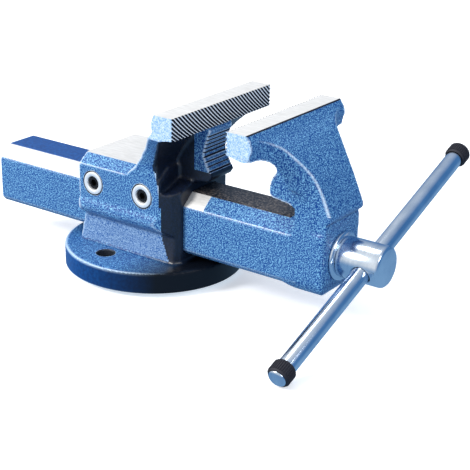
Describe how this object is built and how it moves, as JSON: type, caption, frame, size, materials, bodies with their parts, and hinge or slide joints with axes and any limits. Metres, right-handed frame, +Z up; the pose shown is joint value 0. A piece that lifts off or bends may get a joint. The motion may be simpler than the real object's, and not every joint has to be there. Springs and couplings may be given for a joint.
{
  "type": "bench vise",
  "caption": "Bench vise on a round bolt-down base, with a prism slide, integral pipe jaws, a screw spindle and a sliding tommy bar.",
  "frame": {"origin": "centre of the round base's flat underside", "axes": "+X along the spindle towards the handle, +Y across the jaws, +Z up from the bench"},
  "size_m": [0.3448, 0.2518, 0.1418],
  "materials": {
    "blue_paint": "hammered blue enamel on forged steel, with ground bright steel on the jaw tops, the anvil and the slide's bevels",
    "bright_steel": "bright plated steel, softly polished",
    "plain_steel": "plain machined steel",
    "zinc_ring": "bright zinc plate",
    "black_steel": "black oxide",
    "bronze": "turned bronze",
    "black_knurl": "matt black, straight knurl"
  },
  "bodies": {
    "vise_body": {"fixed_body": "blue_paint", "spindle_nut": "bronze", "nut_screw_rear": "black_steel", "nut_screw_front": "black_steel", "guide_gib_left": "plain_steel", "guide_gib_right": "plain_steel", "lock_ring_left_rear": "zinc_ring", "lock_ring_left_front": "zinc_ring", "lock_ring_right_rear": "zinc_ring", "lock_ring_right_front": "zinc_ring"},
    "sliding_jaw": {"moving_jaw": "blue_paint", "slide_end_cover": "plain_steel", "end_cover_screw_left": "black_steel", "end_cover_screw_right": "black_steel"},
    "spindle_assembly": {"spindle": "bright_steel", "thrust_ring": "bright_steel", "retaining_collar": "plain_steel", "collar_pin": "plain_steel"},
    "handle": {"handle_bar": "bright_steel", "handle_ring_lower": "black_knurl", "handle_ring_upper": "black_knurl"},
    "adjuster_left_rear": {"adjusting_screw_left_rear": "black_steel"},
    "adjuster_left_front": {"adjusting_screw_left_front": "black_steel"},
    "adjuster_right_rear": {"adjusting_screw_right_rear": "black_steel"},
    "adjuster_right_front": {"adjusting_screw_right_front": "black_steel"}
  },
  "joints": [
    {"name": "jaw_slide", "type": "slide", "parent": "vise_body", "child": "sliding_jaw", "axis": [1, 0, 0], "range_m": [-0.0448, 0.1052]},
    {"name": "spindle_turn", "type": "hinge", "parent": "sliding_jaw", "child": "spindle_assembly", "pos_m": [0.1711, 0, 0.045], "axis": [1, 0, 0], "range_deg": [-3211.2, 7560]},
    {"name": "handle_slide", "type": "slide", "parent": "spindle_assembly", "child": "handle", "axis": [0, 0.9397, 0.342], "range_m": [-0.114, 0.0943]},
    {"name": "adjuster_turn_left_rear", "type": "hinge", "parent": "vise_body", "child": "adjuster_left_rear", "pos_m": [-0.0287, -0.038, 0.0658], "axis": [0, -1, 0], "range_deg": [-180, 180]},
    {"name": "adjuster_turn_left_front", "type": "hinge", "parent": "vise_body", "child": "adjuster_left_front", "pos_m": [0.0186, -0.038, 0.0658], "axis": [0, -1, 0], "range_deg": [-180, 180]},
    {"name": "adjuster_turn_right_rear", "type": "hinge", "parent": "vise_body", "child": "adjuster_right_rear", "pos_m": [-0.0287, 0.038, 0.0658], "axis": [0, 1, 0], "range_deg": [-180, 180]},
    {"name": "adjuster_turn_right_front", "type": "hinge", "parent": "vise_body", "child": "adjuster_right_front", "pos_m": [0.0186, 0.038, 0.0658], "axis": [0, 1, 0], "range_deg": [-180, 180]}
  ],
  "couplings": [
    {"joint": "jaw_slide", "follows": "spindle_turn", "m_per_rad": 0.00079577}
  ]
}
